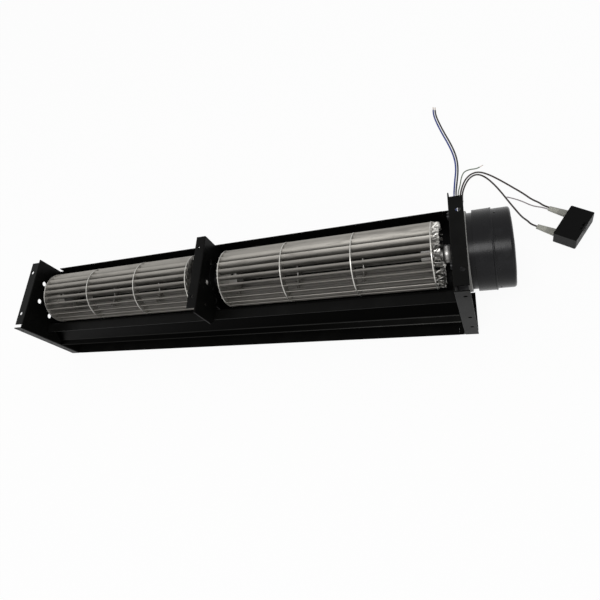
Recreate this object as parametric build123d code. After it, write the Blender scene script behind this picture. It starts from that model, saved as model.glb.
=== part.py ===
"""Cross flow fan: two aluminium blade wheels on one shaft line in a sheet steel duct.

Frame of the finished part: X runs along the shaft towards the motor, +Y from the outlet
to the back of the duct, +Z from the back flanges up to the inlet.  The origin is the middle
of the footprint of the fan itself, without its leads.  All sizes are in millimetres.

While it is being built the fan uses its own corner as zero: X = 0 is the outer face of the
left end plate, Y = 0 the outlet face and Z = 0 the back face that the fan lies on.
"""
import os
from math import cos, pi, radians, sin, sqrt, tan

from build123d import *

# ---------------------------------------------------------------- driving dimensions
LENGTH = 525.0            # over the outer faces of both end plates
DEPTH = 100.0             # outlet face to the back of the duct
HEIGHT = 110.0            # back face to the inlet face
FLANGE = 11.6             # how far the end plates' flanges stand out
PLATE_T = 1.2             # end plates and middle bracket
SHEET_T = 1.0             # scroll and tongue
FOLD_INNER_R = 1.0        # rounding of the plates' folds
FOLD_R = 2.0              # outer radius of the plates' folds
CORNER_RELIEF = 5.7       # gap that keeps two flanges apart at a corner
INLET_END_Y = DEPTH - 4.6  # where the inlet flanges stop
BACK_FLANGE_Y = 45.0      # where the back flanges stop

WHEEL_R = 32.5            # blade tips
DISC_PROUD = 0.5          # how far the discs stand past the blade tips
RING_R = 38.2             # motor mounting ring
RING_CLEAR = 0.6          # ring to the underside of the inlet flange

AXIS_Y = DEPTH - 42.2     # shaft line
AXIS_Z = HEIGHT - PLATE_T - RING_CLEAR - RING_R

LIP_Z = AXIS_Z + 10.0     # top edge of the scroll's upright lip
SCROLL_FLAT = DEPTH - 54.0  # flat floor of the scroll, from the outlet edge
SCROLL_R1 = 48.0          # lower scroll curve
SCROLL_TURN = 60.0        # degrees that the lower curve turns through
LIP_NOTCH = (7.5, 9.0)    # corner notch at both ends of the lip: length, height
MOUTH_NOTCH = (4.6, 8.0)  # corner notch at both ends of the outlet edge: length, depth

NOSE_GAP = 1.8            # tongue's folded nose to the wheels
NOSE_Y = AXIS_Y - WHEEL_R - DISC_PROUD - NOSE_GAP
SHELF_Z = AXIS_Z - 5.0    # tongue: shelf beside the wheels
SHELF_Y = 0.413 * NOSE_Y  # its outer edge
TONGUE_KNEE = (6.6, 39.5)  # Y, Z of the fold below the nose
OUTLET_TOP = 37.0         # Z of the tongue's lower lip
TONGUE_FOLD_R = 1.6

BRACKET_X = LENGTH / 2 + 4.0  # right face of the middle bracket
BRACKET_FRONT = 1.5       # its front edge
BRACKET_BACK = INLET_END_Y + 0.1  # its back edge at the inlet
BRACKET_STEP_Z = AXIS_Z + 3.6  # where its front edge turns in to the shelf
BRACKET_BACK_Z = LIP_Z + 6.0  # where its back edge turns out to the lip
BRACKET_FOOT = 3.0        # its foot's front edge behind the nose

FLANGE_HOLE = 7.0         # flange holes, out from the plate's outer face
FLANGE_HOLE_R = 2.25
INLET_HOLES_Y = (21.0, DEPTH - 19.0)
OUTLET_HOLES_Z = (22.0, 48.0, HEIGHT - 11.0)
OUTLET_HOLE_R = 1.75
BRACKET_HOLE_R = 1.6
BRACKET_WEB_HOLE = (18.6, HEIGHT - 20.4)

WHEEL_ENDS = (            # X of both ends of each wheel
    (17.0, BRACKET_X - 25.5),
    (BRACKET_X + 16.5, LENGTH - 18.0),
)
WHEEL_BAYS = 3            # lengths of blade between discs
BLADES = 24
BLADE_T = 0.5
BLADE_ARC_R = 8.5         # curve of one blade
BLADE_ARC = 64.0          # degrees of that curve
DISC_T = 1.0
RING_WEB = 2.2            # metal left inside the blade roots of a middle ring
TAB_OUT = 1.3             # blade ends riveted over the end discs

SHAFT_R = 4.0
HUB_R = 9.0
HUB_LENGTH = 11.0
HUB_STEP = 3.0            # length of hub outside its disc
HUB_SHOULDER = 1.5        # step down of the hub outside its disc
GRUB_R = 2.0              # grub screw
GRUB_BELOW = 0.6          # its face under the hub's surface
GRUB_KEY = (2.0, 1.6)     # its hexagon socket: across the flats, depth
COUPLING_R = 15.0
COUPLING_T = 5.0
COUPLING_LIP = 2.0        # lips that grip the disc's edge
STUB_PAST = 4.0           # stub shaft past its holder
RUNNING_GAP = 0.05        # radial clearance of every running fit

BUSH_R = 6.5
BUSH_LENGTH = 8.0
SEAT_R = 10.5             # rubber seat round a bush
HOLDER_T = 1.0
HOLDER_R = 21.0
HOLDER_DEPTH = 5.0
HOLDER_RIVETS = 3
RIVET_CIRCLE_R = 17.0
RIVET_R = 1.6
RIVET_HEAD_R = 2.8
RIVET_HEAD_T = 1.0
VENTS = 6
VENT_CIRCLE_R = 26.0
VENT_R = 3.2

RING_LENGTH = 12.3        # motor mounting ring
RING_WALL = 4.4
NECK_LENGTH = 4.8
NECK_R = 35.8
MOTOR_R = 38.0
MOTOR_SHELL = 15.8
CAP_R = 36.8
CAP_LENGTH = 15.2
CAP_EDGE_R = 2.4
SHELL_T = 1.0
STACK_LENGTH = 12.0
STATOR_BORE_R = 20.3
AIR_GAP = 0.4
WINDING_R = (22.5, 31.5)
WINDING_GAP = 0.4         # windings to the shell's front wall
BEARING_R = 11.0
BEARING_T = 7.0
MOTOR_SCREWS = 4
SCREW_R = 2.0
SCREW_HEAD_R = 3.6
SCREW_HEAD_T = 2.2
SCREW_DEPTH = 8.0         # screw thread in the mounting ring
SCREW_PLAY = 0.2          # screw holes in the plate, added to the radius

GLAND_R = 5.5
GLAND_FLANGE = 1.4
GLAND_OUT = 3.2           # gland past the ring

CAP_BOX = (34.5, 21.3, 16.5)      # run capacitor
CAP_PLACE = (104.5, 3.5, 56.8)    # its middle beyond LENGTH and DEPTH, turn of its long side
CAP_LUG = (9.0, 3.6, 9.5)         # recess for the fixing lug: width, depth, height
TERMINAL = (6.3, 9.0, 0.8)
TERMINAL_SPREAD = 11.5
TERMINAL_Z = 8.2
SLEEVE_LENGTH = 18.0
SLEEVE_BIG = (7.6, 4.2)
SLEEVE_SMALL = (4.8, 3.0)

LEAD_D = 1.8
THIN_LEAD_D = 1.3
LEAD_Z = LEAD_D / 2       # height of a lead that lies on the surface
THIN_Z = THIN_LEAD_D / 2

# ---------------------------------------------------------------- worked-out sizes
INNER_LEFT = PLATE_T
INNER_RIGHT = LENGTH - PLATE_T
RING_END = LENGTH + RING_LENGTH
NECK_END = RING_END + NECK_LENGTH
SHELL_END = NECK_END + MOTOR_SHELL
MOTOR_END = SHELL_END + CAP_LENGTH
ORIGIN = Vector((MOTOR_END - FLANGE) / 2, DEPTH / 2, 0)

OUT = "parts"


# ---------------------------------------------------------------- helpers
def slab(x_from, x_to, sketch):
    """Extrude a (Y, Z) sketch between two X positions."""
    return extrude(Plane.YZ.offset(x_from) * sketch, amount=x_to - x_from)


def on_axis(x):
    """Location on the shaft line at x, with local Z along X."""
    return Location((x, AXIS_Y, AXIS_Z), (0, 90, 0))


def turned(*points):
    """Solid of revolution round the shaft line from (x, r) points, closed by itself."""
    ring = make_face(Polyline(*[(x, AXIS_Y + r) for x, r in points], close=True))
    return Pos(0, 0, AXIS_Z) * revolve(ring, Axis((0, AXIS_Y, 0), (1, 0, 0)))


def tube_x(x_from, x_to, r_out, r_in=0.0):
    """Cylinder or tube on the shaft line."""
    body = Cylinder(r_out, x_to - x_from)
    if r_in > 0:
        body -= Cylinder(r_in, x_to - x_from)
    return on_axis((x_from + x_to) / 2) * body


def polar_places(count, radius, start=0.0):
    """Y, Z offsets of places on a circle round the shaft line."""
    for n in range(count):
        angle = radians(start + 360.0 * n / count)
        yield AXIS_Y + radius * cos(angle), AXIS_Z + radius * sin(angle)


def rod_x(x_from, x_to, y, z, radius):
    """Plain cylinder along X."""
    return Location(((x_from + x_to) / 2, y, z), (0, 90, 0)) * Cylinder(radius, x_to - x_from)


def edges_along(solid, axis, **place):
    """Edges along an axis whose middle is at the given X, Y or Z."""
    found = ShapeList()
    for edge in solid.edges().filter_by(axis):
        centre = edge.center()
        if all(abs(getattr(centre, name.upper()) - value) < 0.05 for name, value in place.items()):
            found.append(edge)
    return found


# ---------------------------------------------------------------- duct
def scroll_path(inset=0.0):
    """Scroll section from the outlet edge to the lip, moved inwards by inset."""
    floor = Line((0, inset), (SCROLL_FLAT, inset))
    lower = JernArc(floor @ 1, floor % 1, SCROLL_R1 - inset, SCROLL_TURN)
    rest = radians(SCROLL_TURN)
    back_y = DEPTH - inset
    upper_r = (back_y - (lower @ 1).X) / (1 - sin(rest))
    upper = JernArc(lower @ 1, lower % 1, upper_r, 90 - SCROLL_TURN)
    lip = Line(upper @ 1, (back_y, LIP_Z))
    return [floor, lower, upper, lip]


def scroll_housing():
    """Rolled sheet round the back and floor, with a notch at each corner."""
    outer = scroll_path()
    inner = scroll_path(SHEET_T)
    mouth = Line(outer[0] @ 0, inner[0] @ 0)
    rim = Line(outer[-1] @ 1, inner[-1] @ 1)
    sheet = slab(INNER_LEFT, INNER_RIGHT, make_face(outer + inner + [mouth, rim]))
    for end, side in ((INNER_LEFT, 1), (INNER_RIGHT, -1)):
        length, height = LIP_NOTCH
        sheet -= Pos(end, DEPTH, LIP_Z) * Box(2 * length, 4 * SHEET_T, 2 * height)
        length, deep = MOUTH_NOTCH
        sheet -= Pos(end, 0, 0) * Box(2 * length, 2 * deep, 4 * SHEET_T)
    return sheet


def tongue_plate():
    """Folded sheet that closes the duct between the wheels and the outlet."""
    path = FilletPolyline(
        (SHELF_Y, SHELF_Z), (NOSE_Y, SHELF_Z), TONGUE_KNEE, (0, OUTLET_TOP),
        radius=[TONGUE_FOLD_R, TONGUE_FOLD_R],
    )
    band = offset(path, amount=SHEET_T, side=Side.LEFT, closed=True)
    return slab(INNER_LEFT, INNER_RIGHT, make_face(band.edges()))


def plate_outline():
    """Outline of an end plate: square at the inlet, curved like the scroll behind."""
    curve = scroll_path()
    return make_face(
        curve + [Polyline((DEPTH, LIP_Z), (DEPTH, HEIGHT), (0, HEIGHT), (0, 0))]
    )


def left_side_flanges():
    """Inlet, outlet and back flanges of the left plate, as plain strips."""
    inlet = Pos(-FLANGE / 2, (CORNER_RELIEF + INLET_END_Y) / 2, HEIGHT - PLATE_T / 2) * Box(
        FLANGE, INLET_END_Y - CORNER_RELIEF, PLATE_T
    )
    outlet = Pos(-FLANGE / 2, PLATE_T / 2, HEIGHT / 2) * Box(FLANGE, PLATE_T, HEIGHT)
    back = Pos(-FLANGE / 2, (FOLD_R + BACK_FLANGE_Y) / 2 + 1, PLATE_T / 2) * Box(
        FLANGE, BACK_FLANGE_Y - FOLD_R - 2, PLATE_T
    )
    return inlet + outlet + back


def flange_hole(x, y, z, radius, axis):
    """Cutter for one flange hole."""
    turn = (0, 0, 0) if axis == "z" else (90, 0, 0)
    return Location((x, y, z), turn) * Cylinder(radius, 4 * PLATE_T)


def left_end_plate():
    """Folded end plate seen from outside, without its shaft hole."""
    plate = slab(0, PLATE_T, plate_outline()) + left_side_flanges()
    folds = edges_along(plate, Axis.Y, x=PLATE_T, z=HEIGHT)
    folds += edges_along(plate, Axis.Z, x=PLATE_T, y=0)
    plate = fillet(folds, FOLD_INNER_R)
    for y in INLET_HOLES_Y:
        plate -= flange_hole(-FLANGE_HOLE, y, HEIGHT, FLANGE_HOLE_R, "z")
    for z in OUTLET_HOLES_Z:
        plate -= flange_hole(-FLANGE_HOLE, 0, z, OUTLET_HOLE_R, "y")
    return plate


def vent_cutters(x):
    """Six vents round a shaft hole."""
    for y, z in polar_places(VENTS, VENT_CIRCLE_R):
        yield rod_x(x - 2 * PLATE_T, x + 2 * PLATE_T, y, z, VENT_R)


def pierced(plate, x, shaft_hole_r, rivets=True):
    """Shaft hole, vents and rivet holes of a plate whose middle is at x."""
    plate -= rod_x(x - 2 * PLATE_T, x + 2 * PLATE_T, AXIS_Y, AXIS_Z, shaft_hole_r)
    for cutter in vent_cutters(x):
        plate -= cutter
    if rivets:
        for y, z in polar_places(HOLDER_RIVETS, RIVET_CIRCLE_R, 30):
            plate -= rod_x(x - 2 * PLATE_T, x + 2 * PLATE_T, y, z, RIVET_R)
    return plate


def right_end_plate():
    """Mirror of the left plate, with the motor's hole and four screw holes."""
    plate = mirror(left_end_plate(), about=Plane.YZ.offset(LENGTH / 2))
    plate = pierced(plate, LENGTH - PLATE_T / 2, COUPLING_R, rivets=False)
    for y, z in polar_places(MOTOR_SCREWS, RING_R - RING_WALL / 2, 45):
        plate -= rod_x(LENGTH - 2 * PLATE_T, LENGTH + PLATE_T, y, z, SCREW_R + SCREW_PLAY)
    return plate


def middle_bracket():
    """Web between the wheels: it carries the middle bearing and stiffens the duct."""
    inner = scroll_path(SHEET_T)
    floor_y = NOSE_Y + BRACKET_FOOT
    floor = Line((floor_y, SHEET_T), inner[0] @ 1)
    lip = Line(inner[2] @ 1, (DEPTH - SHEET_T, LIP_Z))
    front = Polyline(
        (DEPTH - SHEET_T, LIP_Z),
        (BRACKET_BACK, BRACKET_BACK_Z),
        (BRACKET_BACK, HEIGHT),
        (BRACKET_FRONT, HEIGHT),
        (BRACKET_FRONT, BRACKET_STEP_Z),
        (SHELF_Y, SHELF_Z + SHEET_T),
        (floor_y, SHELF_Z + SHEET_T),
        (floor_y, SHEET_T),
    )
    left = BRACKET_X - PLATE_T
    web = slab(left, BRACKET_X, make_face([floor, inner[1], inner[2], lip, front]))
    first_y = BRACKET_FRONT + CORNER_RELIEF
    middle = (left - FLANGE / 2 + PLATE_T, (first_y + BRACKET_BACK) / 2, HEIGHT - PLATE_T / 2)
    flange = Pos(*middle) * Box(FLANGE, BRACKET_BACK - first_y, PLATE_T)
    plate = web + flange
    plate = fillet(edges_along(plate, Axis.Y, x=BRACKET_X, z=HEIGHT), FOLD_INNER_R)
    for y in INLET_HOLES_Y:
        plate -= flange_hole(BRACKET_X - FLANGE_HOLE, y, HEIGHT, BRACKET_HOLE_R, "z")
    y, z = BRACKET_WEB_HOLE
    plate -= rod_x(left - 1, BRACKET_X + 1, y, z, BRACKET_HOLE_R)
    return pierced(plate, BRACKET_X - PLATE_T / 2, SEAT_R + HOLDER_T)


# ---------------------------------------------------------------- bearings
def bearing_holder(face_x, out):
    """Pressed cup on a plate's face; out is -1 or 1, the side that the flange lies on."""
    cup_r = SEAT_R + HOLDER_T
    cup = turned(
        (face_x, HOLDER_R), (face_x + out * HOLDER_T, HOLDER_R),
        (face_x + out * HOLDER_T, cup_r), (face_x + out * (HOLDER_T + HOLDER_DEPTH), cup_r),
        (face_x + out * (HOLDER_T + HOLDER_DEPTH), BUSH_R + 0.5),
        (face_x + out * HOLDER_DEPTH, BUSH_R + 0.5), (face_x + out * HOLDER_DEPTH, SEAT_R),
        (face_x, SEAT_R),
    )
    for y, z in polar_places(HOLDER_RIVETS, RIVET_CIRCLE_R, 30):
        cup -= rod_x(face_x - 3, face_x + 3, y, z, RIVET_R)
    return cup


def bearing_seat(face_x, out):
    """Rubber ring that lets the bush line itself up."""
    far = face_x + out * HOLDER_DEPTH
    return turned((face_x - out * 1.0, SEAT_R), (far, SEAT_R), (far, BUSH_R), (face_x - out * 1.0, BUSH_R))


def bearing_bush(face_x, out):
    """Sintered bronze bush with the shaft's running fit."""
    middle = face_x + out * (HOLDER_DEPTH - 1.0) / 2
    return tube_x(middle - BUSH_LENGTH / 2, middle + BUSH_LENGTH / 2, BUSH_R, SHAFT_R + RUNNING_GAP)


def holder_rivets(face_x, out):
    """Three rivets through holder and plate."""
    group = []
    front = face_x + out * HOLDER_T
    back = face_x - out * PLATE_T
    for y, z in polar_places(HOLDER_RIVETS, RIVET_CIRCLE_R, 30):
        low, high = sorted((front, back))
        shank = rod_x(low, high, y, z, RIVET_R)
        head = rod_x(*sorted((front, front + out * RIVET_HEAD_T)), y, z, RIVET_HEAD_R)
        tail = rod_x(*sorted((back, back - out * RIVET_HEAD_T)), y, z, RIVET_HEAD_R)
        group.append(shank + head + tail)
    return group


# ---------------------------------------------------------------- wheels
def blade_root_radius():
    """Radius of the blade roots that puts the tips at WHEEL_R."""
    across = BLADE_ARC_R * (1 - cos(radians(BLADE_ARC)))
    out = BLADE_ARC_R * sin(radians(BLADE_ARC))
    return sqrt(WHEEL_R**2 - across**2) - out


def blade_section(index, thickness):
    """One curved blade in (Y, Z), leaning clockwise as seen from the motor."""
    root = blade_root_radius()
    half = thickness / 2
    inner = CenterArc((root, -BLADE_ARC_R), BLADE_ARC_R - half, 90, -BLADE_ARC)
    outer = CenterArc((root, -BLADE_ARC_R), BLADE_ARC_R + half, 90, -BLADE_ARC)
    face = make_face([inner, outer, Line(inner @ 0, outer @ 0), Line(inner @ 1, outer @ 1)])
    return Location((AXIS_Y, AXIS_Z, 0), (0, 0, 360.0 * index / BLADES)) * face


def wheel_blades(ends):
    """The full-length strips of one wheel, riveted ends included."""
    left, right = ends
    return [slab(left - TAB_OUT, right + TAB_OUT, blade_section(n, BLADE_T)) for n in range(BLADES)]


def disc_places(ends):
    """X of each disc's left face, end discs first and last."""
    left, right = ends
    step = (right - left - DISC_T) / WHEEL_BAYS
    return [left + n * step for n in range(WHEEL_BAYS + 1)]


def slotted_disc(x, bore_r, blades):
    """Disc or ring that the blades pass through."""
    disc = tube_x(x, x + DISC_T, WHEEL_R + DISC_PROUD, bore_r)
    return disc - blades


def wheel_hub(disc_x, inward):
    """Steel hub through an end disc, its screw boss inside the wheel."""
    face = disc_x if inward > 0 else disc_x + DISC_T
    out = face - inward * HUB_STEP
    boss = face + inward * (HUB_LENGTH + DISC_T)
    neck_r = HUB_R - HUB_SHOULDER
    hub = turned(
        (out, SHAFT_R), (out, neck_r), (face + inward * DISC_T, neck_r),
        (face + inward * DISC_T, HUB_R), (boss, HUB_R), (boss, SHAFT_R),
    )
    return hub - grub_place(disc_x, inward) * Pos(0, 0, HUB_R) * Cylinder(GRUB_R, 2 * HUB_R - SHAFT_R)


def grub_place(disc_x, inward):
    """Frame on the shaft line under a hub's grub screw, its Z along the screw."""
    face = disc_x if inward > 0 else disc_x + DISC_T
    return Location((face + inward * (DISC_T + HUB_LENGTH / 2), AXIS_Y, AXIS_Z))


def set_screw(disc_x, inward):
    """Grub screw across the hub's boss, with its hexagon socket."""
    head = HUB_R - GRUB_BELOW
    screw = Pos(0, 0, (SHAFT_R + head) / 2) * Cylinder(GRUB_R, head - SHAFT_R)
    flats, deep = GRUB_KEY
    key = extrude(RegularPolygon(flats / 2, 6, major_radius=False), amount=deep)
    return grub_place(disc_x, inward) * (screw - Pos(0, 0, head - deep) * key)


# ---------------------------------------------------------------- motor
def mounting_ring():
    """Spacer ring between the right plate and the motor."""
    ring = tube_x(LENGTH, RING_END, RING_R, RING_R - RING_WALL)
    ring = chamfer(ring.edges().filter_by(GeomType.CIRCLE).sort_by(SortBy.RADIUS)[-2:], 0.5)
    for y, z in polar_places(MOTOR_SCREWS, RING_R - RING_WALL / 2, 45):
        ring -= rod_x(LENGTH, LENGTH + SCREW_DEPTH, y, z, SCREW_R)
    return ring - gland_hole()


def gland_middle():
    """Point on the ring's outside where the leads come out."""
    return Vector((LENGTH + RING_END) / 2, AXIS_Y + RING_R, AXIS_Z)


def gland_hole():
    """Cutter for the gland, straight back through the ring's wall."""
    middle = gland_middle()
    place = Location((middle.X, middle.Y - RING_WALL / 2, middle.Z), (90, 0, 0))
    return place * Cylinder(GLAND_R - GLAND_FLANGE, 3 * RING_WALL)


def cable_gland():
    """Rubber bush that the leads leave the motor through."""
    middle = gland_middle()
    inside = middle.Y - RING_WALL - 1.5
    outside = middle.Y + GLAND_OUT
    length = outside - inside
    neck = Location((middle.X, inside + length / 2, middle.Z), (90, 0, 0)) * Cylinder(
        GLAND_R - GLAND_FLANGE, length
    )
    head = Location((middle.X, (middle.Y + outside) / 2, middle.Z), (90, 0, 0)) * Cylinder(
        GLAND_R, outside - middle.Y
    )
    return neck + (head - tube_x(LENGTH - 1, RING_END + 1, RING_R))


def motor_shell():
    """Drawn front shell: bearing pocket, neck and main wall, open at the back."""
    pocket_in = RING_END - BEARING_T + 1
    inner_neck = NECK_R - SHELL_T
    inner_main = MOTOR_R - SHELL_T
    return turned(
        (RING_END, NECK_R), (NECK_END, NECK_R), (NECK_END, MOTOR_R), (SHELL_END, MOTOR_R),
        (SHELL_END, inner_main), (NECK_END + SHELL_T, inner_main), (NECK_END + SHELL_T, inner_neck),
        (RING_END + SHELL_T, inner_neck), (RING_END + SHELL_T, BEARING_R),
        (pocket_in, BEARING_R), (pocket_in, SHAFT_R + 3), (pocket_in - SHELL_T, SHAFT_R + 3),
        (pocket_in - SHELL_T, BEARING_R + SHELL_T), (RING_END, BEARING_R + SHELL_T),
    )


def motor_cap():
    """Drawn rear cap: it slips into the shell and holds the rear bearing."""
    start = SHELL_END - 2.5
    inner_r = CAP_R - SHELL_T
    end_in = MOTOR_END - SHELL_T
    cap = turned(
        (start, CAP_R), (MOTOR_END, CAP_R), (MOTOR_END, 0), (end_in, 0), (end_in, BEARING_R),
        (end_in - BEARING_T, BEARING_R), (end_in - BEARING_T, BEARING_R + SHELL_T),
        (end_in, BEARING_R + SHELL_T), (end_in, inner_r), (start, inner_r),
    )
    rim = [e for e in cap.edges().filter_by(GeomType.CIRCLE)
           if abs(e.radius - CAP_R) < 0.01 and abs(e.arc_center.X - MOTOR_END) < 0.01]
    return fillet(rim, CAP_EDGE_R)


def stack_span():
    """X of both ends of the stator stack."""
    start = NECK_END + SHELL_T
    return start, start + STACK_LENGTH


def build_motor(nodes):
    """Every piece of the motor."""
    start, end = stack_span()
    nodes["motor_mounting_ring"] = mounting_ring()
    nodes["cable_gland"] = cable_gland()
    nodes["motor_shell"] = motor_shell()
    nodes["motor_cap"] = motor_cap()
    nodes["stator_stack"] = tube_x(start, end, MOTOR_R - SHELL_T, STATOR_BORE_R)
    low, high = WINDING_R
    reach = NECK_LENGTH - WINDING_GAP
    nodes["stator_windings"] = [
        tube_x(start - reach, start, high, low),
        tube_x(end, end + reach, high, low),
    ]
    nodes["rotor_core"] = tube_x(start, end, STATOR_BORE_R - AIR_GAP, SHAFT_R)
    front = RING_END - BEARING_T + 1
    nodes["front_motor_bearing"] = tube_x(front, front + BEARING_T, BEARING_R, SHAFT_R + RUNNING_GAP)
    rear = MOTOR_END - SHELL_T - BEARING_T
    nodes["rear_motor_bearing"] = tube_x(rear, rear + BEARING_T, BEARING_R, SHAFT_R + RUNNING_GAP)
    screws = []
    for y, z in polar_places(MOTOR_SCREWS, RING_R - RING_WALL / 2, 45):
        shank = rod_x(INNER_RIGHT, LENGTH + SCREW_DEPTH, y, z, SCREW_R)
        screws.append(shank + rod_x(INNER_RIGHT - SCREW_HEAD_T, INNER_RIGHT, y, z, SCREW_HEAD_R))
    nodes["motor_screws"] = screws


# ---------------------------------------------------------------- shaft line
def build_rotating(nodes):
    """Wheels, hubs, shafts and coupling."""
    sides = ("left", "right")
    for side, ends in zip(sides, WHEEL_ENDS):
        blades = wheel_blades(ends)
        nodes[f"{side}_wheel_blades"] = blades
        places = disc_places(ends)
        inner_r = blade_root_radius() - RING_WEB
        for number, x in enumerate(places[1:-1], 1):
            nodes[f"{side}_wheel_ring_{number}"] = slotted_disc(x, inner_r, blades)
        outer_bore = HUB_R - HUB_SHOULDER
        is_motor_end = side == "right"
        nodes[f"{side}_wheel_left_disc"] = slotted_disc(places[0], outer_bore, blades)
        far_bore = COUPLING_R if is_motor_end else outer_bore
        nodes[f"{side}_wheel_right_disc"] = slotted_disc(places[-1], far_bore, blades)
    (left_a, left_b), (right_a, right_b) = [
        (disc_places(ends)[0], disc_places(ends)[-1]) for ends in WHEEL_ENDS
    ]
    nodes["left_wheel_left_hub"] = wheel_hub(left_a, 1)
    nodes["left_wheel_right_hub"] = wheel_hub(left_b, -1)
    nodes["right_wheel_left_hub"] = wheel_hub(right_a, 1)
    nodes["hub_set_screws"] = [set_screw(left_a, 1), set_screw(left_b, -1), set_screw(right_a, 1)]
    reach = HUB_LENGTH + DISC_T
    nodes["left_stub_shaft"] = tube_x(-HOLDER_DEPTH - STUB_PAST, left_a + reach, SHAFT_R)
    nodes["middle_shaft"] = tube_x(left_b + DISC_T - reach, right_a + reach, SHAFT_R)
    disc_middle = right_b + DISC_T / 2
    groove_low = disc_middle - DISC_T / 2
    groove_high = disc_middle + DISC_T / 2
    half = COUPLING_T / 2
    lip_r = COUPLING_R + COUPLING_LIP
    nodes["rubber_coupling"] = turned(
        (disc_middle - half, HUB_R - 2), (disc_middle - half, lip_r), (groove_low, lip_r),
        (groove_low, COUPLING_R), (groove_high, COUPLING_R), (groove_high, lip_r),
        (disc_middle + half, lip_r), (disc_middle + half, HUB_R - 2),
    )
    nodes["coupling_sleeve"] = tube_x(disc_middle - reach, disc_middle + half, HUB_R - 2, SHAFT_R)
    nodes["motor_shaft"] = tube_x(disc_middle - reach, MOTOR_END - SHELL_T - 0.5, SHAFT_R)


# ---------------------------------------------------------------- capacitor and leads
def cap_frame():
    """Plane on the surface under the capacitor: local X along its long side."""
    x, y, turn = CAP_PLACE
    return Location((LENGTH + x, DEPTH + y, 0), (0, 0, turn))


def capacitor_case():
    """Moulded box with a fixing lug in a recess of one long side."""
    long, wide, high = CAP_BOX
    box = Pos(0, 0, high / 2) * Box(long, wide, high)
    box = fillet(box.edges().filter_by(Axis.Z), 1.2)
    recess_w, recess_d, recess_h = CAP_LUG
    box -= Pos(0, -wide / 2 + recess_d / 2, high - recess_h / 2) * Box(recess_w, recess_d, recess_h)
    lug = Pos(0, -wide / 2 + 0.8, high - recess_h / 2 - 0.6) * Box(recess_w, 1.6, recess_h - 1.2)
    slot = Location((0, -wide / 2 + 0.8, high - recess_h / 2 - 0.6), (90, 0, 0)) * extrude(
        SlotOverall(6.0, 3.2), amount=3, both=True
    )
    return cap_frame() * (box + (lug - slot))


def terminal_place(side):
    """Local frame at the root of one terminal: +Y points out of the case."""
    return cap_frame() * Location((side * TERMINAL_SPREAD, CAP_BOX[1] / 2, TERMINAL_Z))


def terminal(side):
    """Blade terminal of the capacitor."""
    wide, long, thick = TERMINAL
    return terminal_place(side) * (Pos(0, long / 2, 0) * Box(wide, long, thick))


def sleeve(side):
    """Insulating sleeve over one terminal."""
    base = terminal_place(side)
    big = Plane.XZ * RectangleRounded(*SLEEVE_BIG, SLEEVE_BIG[1] * 0.35)
    small = Plane.XZ.offset(-SLEEVE_LENGTH) * RectangleRounded(*SLEEVE_SMALL, SLEEVE_SMALL[1] * 0.35)
    body = loft([big.face(), small.face()])
    return base * body - terminal(side)


def sleeve_mouth(side, shift=0.0, ahead=0.0):
    """Point on a sleeve's axis, level with its narrow end or ahead of it."""
    return tuple((terminal_place(side) * Location((shift, SLEEVE_LENGTH + ahead, 0))).position)


def bend_radii(points):
    """0.45 of the shorter run beside each corner over the tangent of half its turn."""
    vectors = [Vector(*p) for p in points]
    radii = []
    for before, here, after in zip(vectors, vectors[1:], vectors[2:]):
        run_in, run_out = here - before, after - here
        turn = radians(run_in.get_angle(run_out))
        radii.append(0.45 * min(run_in.length, run_out.length) / tan(turn / 2))
    return radii


def lead(name, points, diameter):
    """Round lead along straight runs joined by tangent arcs."""
    radii = bend_radii(points)
    path = FilletPolyline(*[tuple(p) for p in points], radius=radii)
    start = path @ 0
    section = Plane(origin=start, z_dir=path % 0) * Circle(diameter / 2)
    tube = sweep(section, path=path)
    ratio = tube.volume / (pi * diameter**2 / 4 * path.length)
    print(f"{name}: length {path.length:.0f}, radii {min(radii):.1f} to {max(radii):.0f}, fill {ratio:.3f}")
    return tube


def gland_exit(across, up, ahead=0.0):
    """Point straight behind the gland's outer face, offset across and up."""
    middle = gland_middle()
    return (middle.X + across, middle.Y + GLAND_OUT + ahead, middle.Z + up)


def beyond(x, y, z):
    """Point measured in X and Y from the duct's back corner at the motor."""
    return LENGTH + x, DEPTH + y, z


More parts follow.
